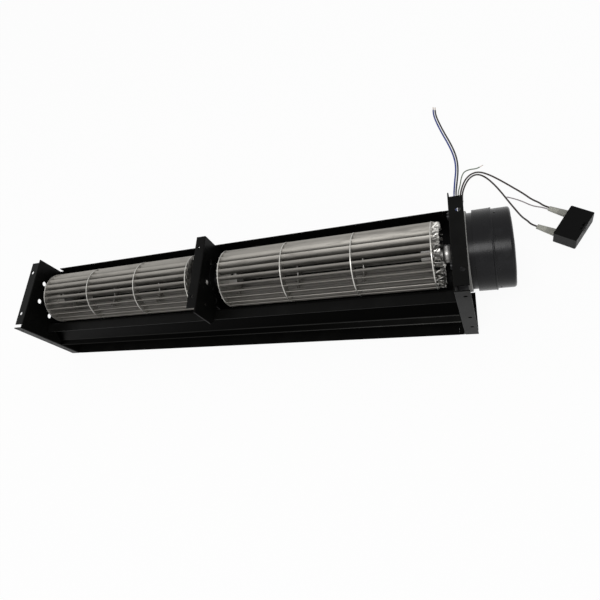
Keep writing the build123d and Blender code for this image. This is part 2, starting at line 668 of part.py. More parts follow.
def lead_routes():
    """Each lead's diameter and the points of its route."""
    return {
        "blue_lead": (LEAD_D, [
            gland_exit(-2.8, 1.2), gland_exit(-2.8, 1.2, 12), beyond(1.8, 25, 60), beyond(0, 39, 41),
            beyond(-1.6, 52, 22), beyond(-2.6, 63, 7), beyond(-2.4, 74, LEAD_Z), beyond(0.4, 88, LEAD_Z),
            beyond(2.6, 103, LEAD_Z), beyond(2, 119, LEAD_Z),
            beyond(-2.6, 138, LEAD_Z), beyond(-10.1, 160, LEAD_Z),
            beyond(-15.7, 179, LEAD_Z), beyond(-18.4, 192, LEAD_Z), beyond(-18.1, 203, LEAD_Z),
        ]),
        "black_lead": (LEAD_D, [
            gland_exit(-0.6, 1.9), gland_exit(-0.6, 1.9, 12), beyond(4.4, 25, 60.6), beyond(3, 39, 41.6),
            beyond(1.6, 52, 22.4), beyond(0.7, 63, 7.4), beyond(1, 75, LEAD_Z), beyond(3.2, 89, LEAD_Z),
            beyond(4.9, 103, LEAD_Z), beyond(4.4, 119.4, LEAD_Z),
            beyond(-0.2, 139, LEAD_Z), beyond(-7.8, 161, LEAD_Z),
            beyond(-13.4, 180, LEAD_Z), beyond(-16, 192, LEAD_Z), beyond(-15.8, 202, LEAD_Z),
        ]),
        "earth_lead": (THIN_LEAD_D, [
            gland_exit(1.8, 1.9), gland_exit(1.8, 1.9, 12), beyond(6.8, 25, 60.2), beyond(5.4, 39, 41),
            beyond(4.2, 52, 21.6), beyond(3.5, 62, 7), beyond(4, 72, THIN_Z), beyond(5.8, 81, THIN_Z),
            beyond(7.4, 90.4, THIN_Z), beyond(10.8, 98, THIN_Z),
            beyond(17.6, 99.6, THIN_Z), beyond(24, 98.8, THIN_Z),
            beyond(30, 102, THIN_Z),
        ]),
        "upper_capacitor_lead": (LEAD_D, [
            gland_exit(0.2, -1.6), gland_exit(0.2, -1.6, 10), beyond(6.4, 22.6, 54), beyond(6.2, 35, 36),
            beyond(5.8, 47, 18), beyond(5.6, 58, 5.5), beyond(5.9, 69, LEAD_Z), beyond(8.4, 80.4, LEAD_Z),
            beyond(12.8, 88.6, LEAD_Z), beyond(19.2, 93.6, LEAD_Z), beyond(26.6, 93.8, LEAD_Z),
            beyond(35.4, 88.2, LEAD_Z), beyond(45.6, 78.6, LEAD_Z), beyond(56.6, 66.8, LEAD_Z),
            beyond(66.6, 56, LEAD_Z), beyond(73.4, 46.2, 2.2), beyond(79.4, 39, 5.6),
            sleeve_mouth(1, 1.1, 6), sleeve_mouth(1, 1.1),
        ]),
        "lower_capacitor_lead": (LEAD_D, [
            gland_exit(2.6, -1.4), gland_exit(2.6, -1.4, 10), beyond(8.8, 22.6, 54), beyond(8.6, 35, 36),
            beyond(8.2, 47, 18), beyond(8, 58, 5.5), beyond(8.2, 69, LEAD_Z), beyond(10.6, 79, LEAD_Z),
            beyond(14.8, 86.4, LEAD_Z), beyond(20.2, 90.6, LEAD_Z), beyond(26, 90.4, LEAD_Z),
            beyond(32.6, 84.8, LEAD_Z), beyond(39.6, 74.4, LEAD_Z), beyond(46.2, 61.6, LEAD_Z),
            beyond(52.4, 47.8, LEAD_Z), beyond(58.6, 34.8, LEAD_Z),
            beyond(62.8, 25.6, 2.8), beyond(66.6, 18.8, 6.4),
            sleeve_mouth(-1, 0, 6), sleeve_mouth(-1),
        ]),
        "pale_lead": (THIN_LEAD_D, [
            beyond(50.6, 55, THIN_Z), beyond(58, 51.2, THIN_Z), beyond(65.6, 45.8, THIN_Z),
            beyond(72, 39.2, 2.0), beyond(77.4, 34, 5.8), sleeve_mouth(1, -1.1, 6), sleeve_mouth(1, -1.1),
        ]),
    }


def build_leads(nodes):
    """Capacitor, its terminals and sleeves, and the leads that lie beside the fan."""
    nodes["capacitor_case"] = capacitor_case()
    nodes["capacitor_terminals"] = [terminal(-1), terminal(1)]
    nodes["lower_terminal_sleeve"] = sleeve(-1)
    nodes["upper_terminal_sleeve"] = sleeve(1)
    for name, (diameter, points) in lead_routes().items():
        nodes[name] = lead(name, points, diameter)


# ---------------------------------------------------------------- assembly
def build_duct(nodes):
    """Sheet metal and the two shaft bearings."""
    left = pierced(left_end_plate(), PLATE_T / 2, SEAT_R + HOLDER_T)
    nodes["left_end_plate"] = left
    nodes["right_end_plate"] = right_end_plate()
    nodes["middle_bracket"] = middle_bracket()
    nodes["scroll_housing"] = scroll_housing()
    nodes["tongue_plate"] = tongue_plate()
    rivets = []
    for name, face_x, out in (("left", 0.0, -1), ("middle", BRACKET_X, 1)):
        nodes[f"{name}_bearing_holder"] = bearing_holder(face_x, out)
        nodes[f"{name}_bearing_seat"] = bearing_seat(face_x, out)
        nodes[f"{name}_bearing_bush"] = bearing_bush(face_x, out)
        rivets += holder_rivets(face_x, out)
    nodes["holder_rivets"] = rivets


def as_compound(shape):
    """One compound per node, whatever the builder function returned."""
    if isinstance(shape, (list, tuple)):
        solids = [s for item in shape for s in item.solids()]
    else:
        solids = shape.solids()
    return solids[0] if len(solids) == 1 else Compound(children=solids)


def main():
    """Build every node, move it to the part's origin and write it."""
    nodes = {}
    build_duct(nodes)
    build_rotating(nodes)
    build_motor(nodes)
    build_leads(nodes)
    os.makedirs(OUT, exist_ok=True)
    for name, shape in nodes.items():
        placed = Pos(-ORIGIN.X, -ORIGIN.Y, -ORIGIN.Z) * as_compound(shape)
        export_step(placed, f"{OUT}/{name}.step")
    print(f"{len(nodes)} nodes, origin offset {ORIGIN}")


main()
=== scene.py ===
"""Cross flow fan: finishes, small pressed and riveted details, loose leads and the stage."""
import math

import bmesh
import bpy
from bpy.props import FloatProperty, FloatVectorProperty, IntProperty, PointerProperty
from mathutils import Euler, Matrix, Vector


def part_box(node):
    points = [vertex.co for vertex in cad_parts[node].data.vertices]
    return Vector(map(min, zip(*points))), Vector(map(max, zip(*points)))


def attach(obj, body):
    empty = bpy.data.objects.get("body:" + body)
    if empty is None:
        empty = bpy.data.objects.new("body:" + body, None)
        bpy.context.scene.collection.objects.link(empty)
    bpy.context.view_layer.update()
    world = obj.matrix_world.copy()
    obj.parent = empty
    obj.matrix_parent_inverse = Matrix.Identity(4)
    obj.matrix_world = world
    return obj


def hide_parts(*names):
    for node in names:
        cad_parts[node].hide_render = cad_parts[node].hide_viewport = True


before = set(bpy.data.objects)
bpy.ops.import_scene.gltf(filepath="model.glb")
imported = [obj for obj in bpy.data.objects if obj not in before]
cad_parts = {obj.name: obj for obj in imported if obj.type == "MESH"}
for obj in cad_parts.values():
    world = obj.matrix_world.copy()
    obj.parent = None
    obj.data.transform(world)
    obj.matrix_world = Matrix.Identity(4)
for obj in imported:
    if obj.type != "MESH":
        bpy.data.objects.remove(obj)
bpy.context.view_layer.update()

bl_info = {
    "name": "Cross flow fan",
    "version": (1, 0, 0),
    "blender": (4, 5, 0),
    "location": "3D View > Sidebar > Fan",
    "description": "Finishes and fine detail of a twin wheel cross flow fan with its motor leads",
    "category": "Object",
}

# ------------------------------------------------------------------ places read from the frame
RING_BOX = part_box("motor_mounting_ring")
SHELL_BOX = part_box("motor_shell")
CAP_END_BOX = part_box("motor_cap")
SCROLL_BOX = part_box("scroll_housing")
TONGUE_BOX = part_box("tongue_plate")
CASE_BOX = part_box("capacitor_case")
SHAFT_Y = (RING_BOX[0][1] + RING_BOX[1][1]) / 2
SHAFT_Z = (RING_BOX[0][2] + RING_BOX[1][2]) / 2
WHEELS = ("left", "right")


# ------------------------------------------------------------------ node trees
class Socket:
    """A number, colour or vector inside a node tree, with arithmetic on numbers."""

    def __init__(self, tree, link):
        self.tree = tree
        self.link = link

    def _math(self, kind, *values):
        settings = {"operation": kind}
        inputs = dict(enumerate(values))
        return self.tree.node("ShaderNodeMath", settings, inputs)[0]

    def __add__(self, other):
        return self._math("ADD", self, other)

    __radd__ = __add__

    def __sub__(self, other):
        return self._math("SUBTRACT", self, other)

    def __rsub__(self, other):
        return self._math("SUBTRACT", other, self)

    def __mul__(self, other):
        return self._math("MULTIPLY", self, other)

    __rmul__ = __mul__

    def __truediv__(self, other):
        return self._math("DIVIDE", self, other)

    def __rtruediv__(self, other):
        return self._math("DIVIDE", other, self)

    def __pow__(self, other):
        return self._math("POWER", self, other)

    def __gt__(self, other):
        return self._math("GREATER_THAN", self, other)

    def __lt__(self, other):
        return self._math("LESS_THAN", self, other)

    def clamp(self):
        return self._math("MAXIMUM", self._math("MINIMUM", self, 1.0), 0.0)

    def floor(self):
        return self._math("FLOOR", self)

    def fract(self):
        return self._math("FRACT", self)

    def sin(self):
        return self._math("SINE", self)

    def abs(self):
        return self._math("ABSOLUTE", self)

    def arctan2(self, other):
        return self._math("ARCTAN2", self, other)

    def ramp(self, low, high, to_low=0.0, to_high=1.0):
        """Straight ramp between two values, held outside them."""
        inputs = {"Value": self, "From Min": low, "From Max": high, "To Min": to_low, "To Max": to_high}
        return self.tree.node("ShaderNodeMapRange", {}, inputs)["Result"]


class Outputs:
    """A node's outputs by name or number."""

    def __init__(self, tree, node):
        self.tree = tree
        self.node = node

    def __getitem__(self, key):
        return Socket(self.tree, self.node.outputs[key])


class Tree:
    """Builds shader and geometry trees from one call per node."""

    def __init__(self, tree):
        self.tree = tree
        self.count = 0

    def node(self, kind, settings=None, inputs=None):
        made = self.tree.nodes.new(kind)
        made.location = (180 * (self.count % 12), -220 * (self.count // 12))
        self.count += 1
        for name, value in (settings or {}).items():
            if name == "stops":
                self._stops(made.color_ramp, value)
            else:
                setattr(made, name, value)
        for name, value in (inputs or {}).items():
            socket = made.inputs[name]
            if isinstance(value, Socket):
                self.tree.links.new(value.link, socket)
            else:
                socket.default_value = value
        return Outputs(self, made)

    @staticmethod
    def _stops(ramp, stops):
        while len(ramp.elements) < len(stops):
            ramp.elements.new(0.5)
        for element, (place, colour) in zip(ramp.elements, stops):
            element.position = place
            element.color = colour if len(colour) == 4 else (*colour, 1.0)


class Finish(Tree):
    """One procedural material built on the object's own coordinates."""

    def __init__(self, name, **fixed):
        self.material = bpy.data.materials.new(name)
        self.material.use_nodes = True
        super().__init__(self.material.node_tree)
        self.tree.nodes.clear()
        self.shader = self.node("ShaderNodeBsdfPrincipled", {}, fixed)
        self.node("ShaderNodeOutputMaterial", {}, {"Surface": self.shader["BSDF"]})
        self.place = self.node("ShaderNodeTexCoord")["Object"]
        parts = self.node("ShaderNodeSeparateXYZ", {}, {0: self.place})
        self.x, self.y, self.z = parts["X"], parts["Y"], parts["Z"]

    def stretched(self, scale):
        """Object coordinates with each axis scaled."""
        return self.node(
            "ShaderNodeVectorMath", {"operation": "MULTIPLY"}, {0: self.place, 1: scale}
        )[0]

    def noise(self, scale, detail=2.0, roughness=0.5, at=None):
        """Soft noise from 0 to 1 with the given number of cycles per metre."""
        inputs = {
            "Vector": self.place if at is None else at,
            "Scale": scale, "Detail": detail, "Roughness": roughness,
        }
        return self.node("ShaderNodeTexNoise", {}, inputs)["Fac"]

    def cells(self, scale, at=None):
        """Distance to the nearest of scattered points."""
        inputs = {"Vector": self.place if at is None else at, "Scale": scale}
        return self.node("ShaderNodeTexVoronoi", {}, inputs)["Distance"]

    def random_step(self, value):
        """A random number for each whole step of a value."""
        return self.node(
            "ShaderNodeTexWhiteNoise", {"noise_dimensions": "1D"}, {"W": value.floor()}
        )["Value"]

    def mix(self, amount, low, high):
        """Colour between two colours."""
        inputs = {"Factor": amount}
        made = self.node("ShaderNodeMix", {"data_type": "RGBA"}, inputs)
        for key, value in ((6, low), (7, high)):
            if isinstance(value, Socket):
                self.tree.links.new(value.link, made.node.inputs[key])
            else:
                made.node.inputs[key].default_value = (*value, 1.0)
        return made[2]

    def set(self, **values):
        """Connects varying values to the shader."""
        for name, value in values.items():
            socket = self.shader.node.inputs[name.replace("_", " ")]
            self.tree.links.new(value.link, socket)

    def bump(self, height, depth, strength=1.0):
        """Relief of the given depth in metres."""
        inputs = {"Height": height, "Distance": depth, "Strength": strength}
        self.set(Normal=self.node("ShaderNodeBump", {}, inputs)["Normal"])

    def around_shaft(self):
        """Turns round the shaft line, from -0.5 to 0.5, and the distance from it."""
        side, up = self.y - SHAFT_Y, self.z - SHAFT_Z
        return up.arctan2(side) / (2 * math.pi), (side * side + up * up) ** 0.5


def wear(node, material):
    """Gives a carried-over node its material."""
    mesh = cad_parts[node].data
    mesh.materials.clear()
    mesh.materials.append(material)


# ------------------------------------------------------------------ finishes
def black_sheet(name, colour, gloss, highlit_folds=(), shade_below=None):
    """Satin black powder coat on folded sheet: fine orange peel, dust, painted highlights along folds and
    painted shade under a shelf.

    highlit_folds holds the Y of long folds along which a thin grey line is painted as a highlight where
    the bend catches light, and shade_below the height under which the sheet is painted in shade: a darker
    colour with high metallic, so the hollow under the shelf renders near black.
    """
    finish = Finish(name, **{"Metallic": 0.0, "IOR": 1.5, "Specular IOR Level": gloss})
    dust = finish.noise(26, 4, 0.65).ramp(0.48, 0.78)
    specks = finish.cells(420).ramp(0.05, 0.13, 1.0, 0.0) * finish.noise(60, 2).ramp(0.52, 0.7)
    pale = tuple(c * 1.8 + 0.003 for c in colour)
    base = finish.mix(dust * 0.55, colour, pale)
    base = finish.mix(specks * 0.35, base, (0.06, 0.058, 0.052))
    # Painted shade: below this height the sheet gets a darker colour and high metallic, so the hollow
    # under the shelf renders near black.
    if shade_below is not None:
        shade_mask = finish.z.ramp(shade_below - 0.0008, shade_below, 1.0, 0.0)
        base = finish.mix(shade_mask, base, tuple(c * 0.4 for c in colour))
        finish.set(Metallic=shade_mask * 0.96)
    # Painted highlight: a thin grey line along each listed fold, where the bend catches light.
    for fold in highlit_folds:
        line = (finish.y - fold).abs().ramp(0.0002, 0.0006, 1.0, 0.0)
        line = line * (0.35 + 0.65 * finish.noise(42, 3, 0.6, finish.stretched((1.0, 0.2, 0.2))))
        base = finish.mix(line, base, (0.020, 0.020, 0.019))
    finish.set(Base_Color=base)
    rub = finish.noise(900, 2, at=finish.stretched((0.06, 1.0, 1.0)))
    finish.set(Roughness=0.27 + 0.13 * finish.noise(70, 3) + 0.05 * rub)
    peel = finish.noise(1150, 2, 0.45) + 0.35 * finish.noise(320, 1)
    finish.bump(peel, 0.00006, 0.55)
    return finish.material


def rolled_aluminium(name, colour, dull, blades=0):
    """Thin mill-finish aluminium: drawn lines along X, tarnish, a tone for each blade, and on blades
    painted shade towards the inside of the wheel.
    """
    finish = Finish(name, **{"IOR": 1.45})
    lines = finish.noise(1500, 3, 0.6, finish.stretched((0.02, 1.0, 1.0)))
    patches = finish.noise(38, 4, 0.6, finish.stretched((0.5, 1.0, 1.0)))
    grime = finish.noise(120, 5, 0.7, finish.stretched((0.16, 1.0, 1.0))).ramp(0.5, 0.72)
    tone = 0.72 + 0.34 * patches + 0.22 * (lines - 0.5)
    if blades:
        turn, radius = finish.around_shaft()
        each = finish.random_step(turn * blades + radius * 22.0)
        tone = tone + 0.22 * (each - 0.5)
        # Painted shade: the blades darken towards their inner edge, deeper inside the wheel, down to the
        # dark end of the tone range.
        depth = radius.ramp(0.0240, 0.0318)
        tone = tone * (0.34 + 0.66 * depth)
    dark = tuple(c * 0.30 for c in colour)
    bright = tuple(min(1.0, c * 1.28) for c in colour)
    base = finish.mix(tone.clamp(), dark, bright)
    base = finish.mix(grime * 0.42, base, (0.085, 0.078, 0.068))
    finish.set(Base_Color=base)
    finish.set(Metallic=0.94 - 0.5 * grime)
    finish.set(Roughness=(dull + 0.16 * patches + 0.14 * grime + 0.08 * lines).clamp())
    dents = finish.noise(95, 2, 0.5, finish.stretched((0.55, 1.0, 1.0)))
    finish.bump(dents + 0.10 * lines, 0.00045 if blades else 0.00012, 0.6)
    return finish.material


def turned_steel(name, colour):
    """Bright steel with fine turning marks across X."""
    finish = Finish(name, **{"IOR": 1.45})
    marks = finish.noise(5200, 2, 0.5, finish.stretched((1.0, 0.03, 0.03)))
    stain = finish.noise(240, 4, 0.6)
    finish.set(Base_Color=finish.mix(stain * 0.7, colour, tuple(c * 0.55 for c in colour)))
    finish.set(Metallic=0.98 - 0.2 * stain)
    finish.set(Roughness=0.22 + 0.18 * stain + 0.1 * marks)
    finish.bump(marks, 0.00002, 0.5)
    return finish.material


def moulded_rubber(name, colour):
    """Matt moulded rubber with bloom."""
    finish = Finish(name, **{"Metallic": 0.0, "Specular IOR Level": 0.28})
    bloom = finish.noise(210, 4, 0.6).ramp(0.45, 0.75)
    finish.set(Base_Color=finish.mix(bloom * 0.6, colour, tuple(c * 2.4 + 0.01 for c in colour)))
    finish.set(Roughness=0.62 + 0.2 * bloom)
    finish.bump(finish.noise(1900, 2), 0.00005, 0.5)
    return finish.material


def sintered_bronze(name):
    """Pressed bronze with open pores and an oily film."""
    finish = Finish(name, **{"IOR": 1.45, "Coat Weight": 0.25, "Coat Roughness": 0.15})
    pores = finish.cells(2600).ramp(0.12, 0.3)
    oil = finish.noise(300, 3)
    base = finish.mix(pores, (0.10, 0.055, 0.025), (0.46, 0.27, 0.12))
    finish.set(Base_Color=finish.mix(oil * 0.4, base, (0.2, 0.12, 0.06)))
    finish.set(Metallic=0.7 + 0.25 * pores)
    finish.set(Roughness=0.3 + 0.25 * oil)
    finish.bump(pores, 0.00004, 0.6)
    return finish.material


def motor_enamel(name, colour, gloss):
    """Black enamel on drawn steel: faint draw lines round the shell, handling marks."""
    finish = Finish(name, **{"Metallic": 0.0, "IOR": 1.5, "Specular IOR Level": gloss,
                             "Coat Weight": 0.06, "Coat Roughness": 0.2})
    draw = finish.noise(1300, 2, 0.5, finish.stretched((1.0, 0.05, 0.05)))
    marks = finish.noise(85, 4, 0.7).ramp(0.52, 0.8)
    finish.set(Base_Color=finish.mix(marks * 0.6, colour, tuple(c * 2.0 + 0.006 for c in colour)))
    finish.set(Roughness=0.22 + 0.14 * marks + 0.08 * draw)
    finish.bump(0.6 * draw + 0.5 * finish.noise(700, 2), 0.00005, 0.6)
    return finish.material


def ring_casting(name, highlight_from, highlight_to):
    """Die-cast ring: black enamel, with a painted highlight at the motor end: a band of dull grey metal
    that stands in for the lit edge.
    """
    finish = Finish(name, **{"IOR": 1.45})
    # Painted highlight: this band of grey metal at the motor end of the ring stands in for its lit edge.
    bare = (finish.x.ramp(highlight_from, highlight_from + 0.0003)
            * finish.x.ramp(highlight_to, highlight_to + 0.0004, 1.0, 0.0))
    grain = finish.noise(900, 3, 0.6)
    metal = finish.mix(grain, (0.17, 0.17, 0.165), (0.34, 0.335, 0.32))
    finish.set(Base_Color=finish.mix(bare, (0.014, 0.014, 0.015), metal))
    finish.set(Metallic=bare * 0.8)
    finish.set(Roughness=0.36 + 0.2 * grain)
    finish.bump(grain, 0.00005, 0.6)
    return finish.material


def laminations(name):
    """Stacked electrical steel: thin dark seams every half millimetre."""
    finish = Finish(name, **{"IOR": 1.45})
    seam = (finish.x * 2000.0).fract().ramp(0.0, 0.22)
    rust = finish.noise(260, 4, 0.6).ramp(0.55, 0.8)
    base = finish.mix(seam, (0.04, 0.04, 0.042), (0.30, 0.30, 0.31))
    finish.set(Base_Color=finish.mix(rust * 0.5, base, (0.14, 0.07, 0.035)))
    finish.set(Metallic=0.9 - 0.5 * rust)
    finish.set(Roughness=0.4 + 0.25 * rust)
    finish.bump(seam, 0.00008, 0.8)
    return finish.material


def enamelled_copper(name):
    """Wound copper wire under varnish."""
    finish = Finish(name, **{"IOR": 1.5, "Coat Weight": 0.6, "Coat Roughness": 0.12})
    turn, radius = finish.around_shaft()
    wires = ((radius * 2400.0 + finish.x * 1300.0).sin() * 0.5 + 0.5)
    base = finish.mix(wires, (0.16, 0.045, 0.015), (0.62, 0.24, 0.09))
    finish.set(Base_Color=base)
    finish.set(Metallic=0.6 + 0.3 * wires)
    finish.set(Roughness=0.26 + 0.1 * finish.noise(300, 2))
    finish.bump(wires, 0.00018, 0.8)
    return finish.material


def potted_plastic(name, colour):
    """Moulded shell, spark textured, with smooth darker resin on its top face."""
    finish = Finish(name, **{"Metallic": 0.0, "IOR": 1.5, "Specular IOR Level": 0.06})
    grain = finish.noise(2300, 2, 0.5)
    top = finish.z.ramp(CASE_BOX[1][2] - 0.0006, CASE_BOX[1][2] - 0.0002)
    scuff = finish.noise(150, 4, 0.65).ramp(0.55, 0.8)
    wall = finish.mix(scuff * 0.35, tuple(c * 6.0 for c in colour), (0.05, 0.05, 0.048))
    finish.set(Base_Color=finish.mix(top, wall, colour))
    finish.set(Roughness=0.42 - 0.22 * top + 0.2 * scuff)
    finish.bump(grain, 0.00005, 0.6)
    return finish.material


def cloudy_sleeve(name, colour):
    """Half-clear soft PVC sleeve."""
    finish = Finish(name, **{"Metallic": 0.0, "IOR": 1.46, "Transmission Weight": 0.45,
                             "Subsurface Weight": 0.0})
    cloud = finish.noise(320, 3, 0.6)
    finish.set(Base_Color=finish.mix(cloud, colour, tuple(c * 0.72 for c in colour)))
    finish.set(Roughness=0.3 + 0.25 * cloud)
    finish.bump(finish.noise(520, 2), 0.0001, 0.5)
    return finish.material


def wire_pvc(name, colour, pale=1.7):
    """Soft PVC insulation with a slight sheen and handling dust."""
    finish = Finish(name, **{"Metallic": 0.0, "IOR": 1.5, "Specular IOR Level": 0.4,
                             "Coat Weight": 0.15, "Coat Roughness": 0.3})
    dust = finish.noise(330, 4, 0.65).ramp(0.45, 0.8)
    light = tuple(min(1.0, c * pale + 0.012) for c in colour)
    finish.set(Base_Color=finish.mix(dust * 0.6, colour, light))
    finish.set(Roughness=0.34 + 0.22 * dust)
    finish.bump(finish.noise(900, 2), 0.00004, 0.5)
    return finish.material


def tinned_wire(name):
    """Bare tinned copper strands."""
    finish = Finish(name, **{"IOR": 1.45})
    tin = finish.noise(1400, 3)
    finish.set(Base_Color=finish.mix(tin, (0.50, 0.36, 0.26), (0.66, 0.63, 0.60)))
    finish.set(Metallic=0.92 + 0.05 * tin)
    finish.set(Roughness=0.25 + 0.2 * tin)
    finish.bump(tin, 0.00002, 0.5)
    return finish.material


# ------------------------------------------------------------------ making pieces
def finished_piece(name, mesh, body, material, smooth=True):
    """Links a mesh as a piece that rides on a body."""
    mesh.materials.clear()
    mesh.materials.append(material)
    mesh.polygons.foreach_set("use_smooth", [smooth] * len(mesh.polygons))
    piece = bpy.data.objects.new(name, mesh)
    bpy.context.scene.collection.objects.link(piece)
    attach(piece, body)
    return piece


def lathed(name, profile, steps=96):
    """Closed ring round the shaft line from (x, radius) points in metres."""
    work = bmesh.new()
    rings = []
    for step in range(steps):
        turn = 2 * math.pi * step / steps
        rings.append([
            work.verts.new((x, SHAFT_Y + r * math.cos(turn), SHAFT_Z + r * math.sin(turn)))
            for x, r in profile
        ])
    for here, after in zip(rings, rings[1:] + rings[:1]):
        for n in range(len(profile)):
            m = (n + 1) % len(profile)
            work.faces.new((here[n], here[m], after[m], after[n]))
    bmesh.ops.remove_doubles(work, verts=work.verts, dist=1e-6)
    bmesh.ops.recalc_face_normals(work, faces=work.faces)
    mesh = bpy.data.meshes.new(name)
    work.to_mesh(mesh)
    work.free()
    return mesh


def sheet_tab(name, low, high, round_off=0.00015):
    """Small flat tab of sheet between two corners, with softened edges."""
    work = bmesh.new()
    bmesh.ops.create_cube(work, size=1.0)
    for vert in work.verts:
        for axis in range(3):
            vert.co[axis] = high[axis] if vert.co[axis] > 0 else low[axis]
    bmesh.ops.bevel(work, geom=work.edges[:], offset=round_off, segments=2, affect="EDGES")
    mesh = bpy.data.meshes.new(name)
    work.to_mesh(mesh)
    work.free()
    return mesh


class Pattern(Tree):
    """Geometry nodes with named sizes that end in one real mesh of one material."""

    def __init__(self, name, sizes):
        self.group = bpy.data.node_groups.new(name, "GeometryNodeTree")
        super().__init__(self.group)
        face = self.group.interface
        face.new_socket("Geometry", in_out="INPUT", socket_type="NodeSocketGeometry")
        face.new_socket("Geometry", in_out="OUTPUT", socket_type="NodeSocketGeometry")
        self.identifiers = {}
        for label, value in sizes.items():
            kind = "NodeSocketInt" if isinstance(value, int) else "NodeSocketFloat"
            made = face.new_socket(label, in_out="INPUT", socket_type=kind)
            made.default_value = value
            self.identifiers[label] = made.identifier
        self.into = self.node("NodeGroupInput")

    def vector(self, x, y, z):
        return self.node("ShaderNodeCombineXYZ", {}, {"X": x, "Y": y, "Z": z})["Vector"]

    def random(self, low, high, seed):
        inputs = {2: low, 3: high, "Seed": seed}
        return self.node("FunctionNodeRandomValue", {"data_type": "FLOAT"}, inputs)[1]

    def end(self, geometry, material, crumple=None):
        """Realises the copies, roughens them if asked and gives them their material."""
        real = self.node("GeometryNodeRealizeInstances", {}, {"Geometry": geometry})["Geometry"]
        if crumple is not None:
            at = self.node("GeometryNodeInputPosition")["Position"]
            cloud = self.node("ShaderNodeTexNoise", {}, {"Vector": at, "Scale": 620.0})["Color"]
            centred = self.node(
                "ShaderNodeVectorMath", {"operation": "SUBTRACT"}, {0: cloud, 1: (0.5, 0.5, 0.5)}
            )[0]
            moved = self.node(
                "ShaderNodeVectorMath", {"operation": "SCALE"}, {0: centred, "Scale": crumple}
            )[0]
            real = self.node("GeometryNodeSetPosition", {}, {"Geometry": real, "Offset": moved})[0]
        done = self.node("GeometryNodeSetMaterial", {}, {"Geometry": real, "Material": material})
        self.node("NodeGroupOutput", {}, {"Geometry": done["Geometry"]})

    def mesh(self, name, start=None, **sizes):
        """Plain mesh that the pattern makes with these sizes."""
        carrier = bpy.data.objects.new(name + "_carrier", start or bpy.data.meshes.new(name))
        bpy.context.scene.collection.objects.link(carrier)
        modifier = carrier.modifiers.new("Pattern", "NODES")
        modifier.node_group = self.group
        for label, value in sizes.items():
            modifier[self.identifiers[label.replace("_", " ")]] = value
        bpy.context.view_layer.update()
        graph = bpy.context.evaluated_depsgraph_get()
        made = bpy.data.meshes.new_from_object(carrier.evaluated_get(graph), depsgraph=graph)
        made.name = name
        bpy.data.objects.remove(carrier)
        return made


def riveted_ends(material):
    """Pattern: blade ends folded over the face of a disc, one for each blade."""
    tree = Pattern("Folded blade ends", {
        "Count": 24, "Face X": 0.0, "Circle Radius": 0.029, "Start Angle": 0.0, "Lean": 0.56,
        "Tab Length": 0.005, "Tab Fold": 0.002, "Tab Thickness": 0.0005, "Crumple": 0.0008, "Seed": 3,
    })
    size = tree.into
    index = tree.node("GeometryNodeInputIndex")["Index"]
    angle = index * (2 * math.pi / size["Count"]) + size["Start Angle"]
    cosine = tree.node("ShaderNodeMath", {"operation": "COSINE"}, {0: angle})[0]
    reach = size["Circle Radius"] + tree.random(-0.0004, 0.0004, size["Seed"])
    at = tree.vector(size["Face X"], SHAFT_Y + reach * cosine, SHAFT_Z + reach * angle.sin())
    points = tree.node("GeometryNodePoints", {}, {"Count": size["Count"], "Position": at})[0]
    block = tree.node("GeometryNodeMeshCube", {}, {
        "Size": tree.vector(size["Tab Thickness"], size["Tab Length"], size["Tab Fold"]),
        "Vertices X": 4, "Vertices Y": 5, "Vertices Z": 3,
    })["Mesh"]
    lean = tree.vector(angle - size["Lean"], 0.0, 0.0)
    turned = tree.node("FunctionNodeEulerToRotation", {}, {"Euler": lean})["Rotation"]
    tilt = tree.vector(
        0.0, tree.random(-0.35, 0.35, size["Seed"] + 5), tree.random(-0.22, 0.22, size["Seed"] + 9)
    )
    tilted = tree.node("FunctionNodeEulerToRotation", {}, {"Euler": tilt})["Rotation"]
    both = tree.node(
        "FunctionNodeRotateRotation", {"rotation_space": "LOCAL"},
        {"Rotation": turned, "Rotate By": tilted},
    )["Rotation"]
    copies = tree.node(
        "GeometryNodeInstanceOnPoints", {}, {"Points": points, "Instance": block, "Rotation": both}
    )["Instances"]
    tree.end(copies, material, size["Crumple"])
    return tree


def seam_marks(material):
    """Pattern: shallow pressed weld marks spaced along a seam line."""
    tree = Pattern("Weld marks", {"Count": 9, "Mark Radius": 0.0021, "Mark Height": 0.0003})
    size = tree.into
    line = tree.node("GeometryNodeMeshToCurve", {}, {"Mesh": size["Geometry"]})["Curve"]
    points = tree.node(
        "GeometryNodeCurveToPoints", {"mode": "COUNT"}, {"Curve": line, "Count": size["Count"]}
    )["Points"]
    wide = size["Mark Radius"]
    foot = tree.node("GeometryNodeMeshCone", {"fill_type": "NGON"}, {
        "Vertices": 20, "Radius Top": wide * 0.78, "Radius Bottom": wide,
        "Depth": size["Mark Height"],
    })["Mesh"]
    flat = tree.node(
        "FunctionNodeEulerToRotation", {}, {"Euler": tree.vector(0.0, math.pi / 2, 0.0)}
    )["Rotation"]
    copies = tree.node(
        "GeometryNodeInstanceOnPoints", {}, {"Points": points, "Instance": foot, "Rotation": flat}
    )["Instances"]
    tree.end(copies, material)
    return tree


